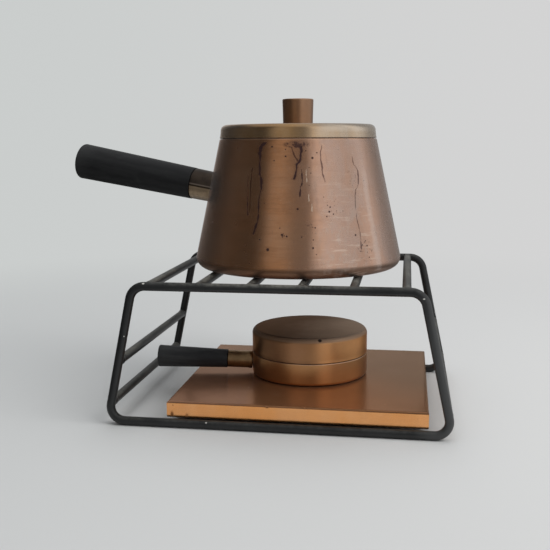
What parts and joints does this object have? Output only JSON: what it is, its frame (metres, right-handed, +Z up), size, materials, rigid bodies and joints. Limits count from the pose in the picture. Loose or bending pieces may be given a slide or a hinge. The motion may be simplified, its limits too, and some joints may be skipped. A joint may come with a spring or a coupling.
{
  "type": "fondue set",
  "caption": "Conical copper pot with lid and side handle on a black wire-rod stand, over a lidded spirit burner on a copper tray.",
  "frame": {"origin": "on the table, under the centre of the whole set's bounding box", "axes": "+X along the stand's front, away from both handles; +Y to the rear; +Z up"},
  "size_m": [0.3274, 0.1888, 0.2482],
  "materials": {
    "copper": "worn satin copper",
    "ferrule_metal": "tarnished, half polished",
    "black_enamel": "semi-matt black enamel",
    "black_grip": "matt black lacquer",
    "steel": "plain",
    "board": "raw hardboard",
    "wadding": "felted fibre"
  },
  "bodies": {
    "stand": {"frame_front_loop": "black_enamel", "frame_rear_loop": "black_enamel", "grid_bar_1": "black_enamel", "grid_bar_2": "black_enamel", "grid_bar_3": "black_enamel", "grid_bar_4": "black_enamel", "grid_bar_5": "black_enamel", "grid_bar_6": "black_enamel", "side_rod_left_upper": "black_enamel", "side_rod_left_lower": "black_enamel", "side_rod_right_upper": "black_enamel", "side_rod_right_lower": "black_enamel"},
    "tray": {"tray_copper_cover": "copper", "tray_core_board": "board"},
    "burner": {"burner_bowl": "copper", "burner_collar": "copper", "burner_wadding": "wadding", "burner_gauze": "steel", "burner_handle_ferrule": "ferrule_metal", "burner_handle_grip": "black_grip", "burner_handle_stud": "steel"},
    "snuffer": {"burner_snuffer_lid": "copper"},
    "pot": {"pot_body": "copper", "pot_handle_ferrule": "ferrule_metal", "pot_handle_grip": "black_grip", "pot_handle_stud": "steel"},
    "lid": {"lid_shell": "copper", "lid_locating_ring": "copper", "lid_knob": "copper", "knob_screw": "steel", "knob_washer": "steel"}
  },
  "joints": [
    {"name": "tray_slide", "type": "slide", "parent": "stand", "child": "tray", "axis": [0, -1, 0], "range_m": [0, 0.2]},
    {"name": "burner_lift", "type": "slide", "parent": "tray", "child": "burner", "axis": [0, 0, 1], "range_m": [0, 0.02]},
    {"name": "snuffer_lift", "type": "slide", "parent": "burner", "child": "snuffer", "axis": [0, 0, 1], "range_m": [0, 0.022]},
    {"name": "pot_lift", "type": "slide", "parent": "stand", "child": "pot", "axis": [0, 0, 1], "range_m": [0, 0.12]},
    {"name": "lid_lift", "type": "slide", "parent": "pot", "child": "lid", "axis": [0, 0, 1], "range_m": [0, 0.12]}
  ]
}
